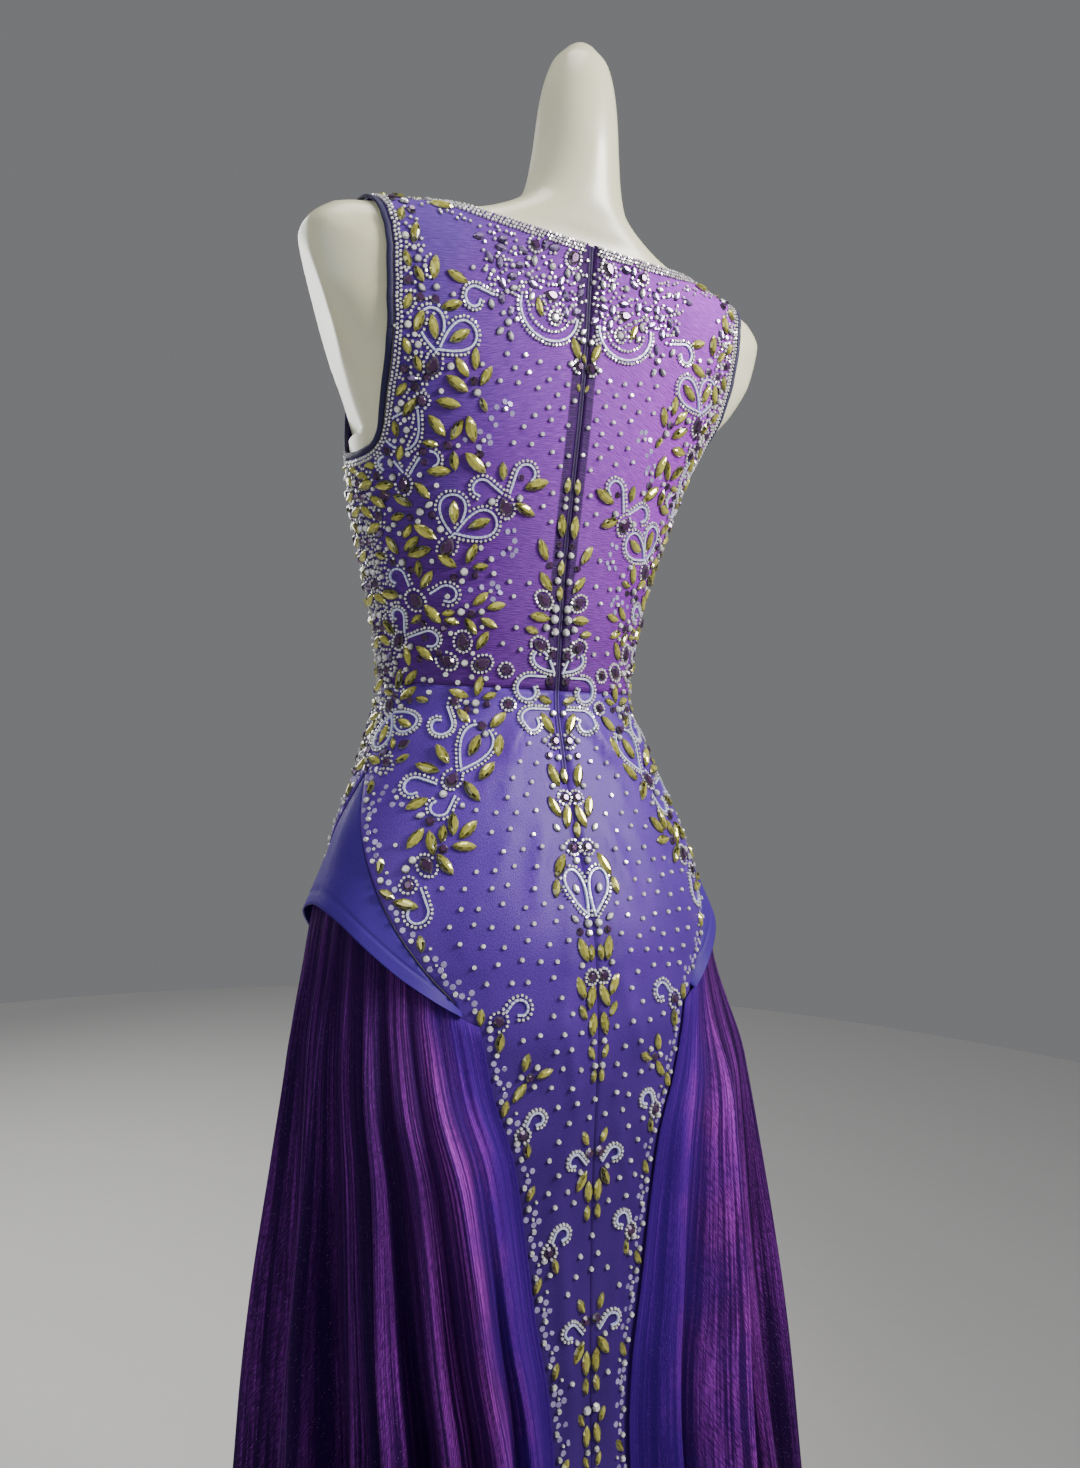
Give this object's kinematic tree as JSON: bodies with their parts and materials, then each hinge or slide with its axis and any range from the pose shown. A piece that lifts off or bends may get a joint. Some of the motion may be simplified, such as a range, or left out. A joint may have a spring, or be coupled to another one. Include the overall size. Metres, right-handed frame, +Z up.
{
  "type": "mermaid prom dress on a dress form",
  "caption": "Sleeveless mermaid gown with a beaded sheer bodice, satin V panels, hip yokes and gathered tulle overskirts, worn by a limbless dress form on a pole stand.",
  "frame": {"origin": "on the floor under the form, on the base's underside", "axes": "+Z up, the gown's back towards +Y, the wearer's left towards +X"},
  "size_m": [0.712, 0.6065, 1.624],
  "materials": {
    "bodice_mesh": "sheer violet mesh with a fine crinkle",
    "satin": "soft violet blue satin",
    "tulle": "plum tulle with a fine metallic shimmer",
    "binding": "dark navy",
    "form_gloss": "ivory gloss lacquer",
    "stand_steel": "fine brushed"
  },
  "bodies": {
    "root": {"bodice_front": "bodice_mesh", "bodice_back_left": "bodice_mesh", "bodice_back_right": "bodice_mesh", "zip_tape": "bodice_mesh", "armhole_binding_left": "binding", "armhole_binding_right": "binding", "skirt_front": "satin", "skirt_back_left": "satin", "skirt_back_right": "satin", "hip_yoke_left": "satin", "hip_yoke_right": "satin", "overskirt_left": "tulle", "overskirt_right": "tulle", "form_torso": "form_gloss", "form_pole": "stand_steel", "form_base": "stand_steel"}
  },
  "joints": []
}
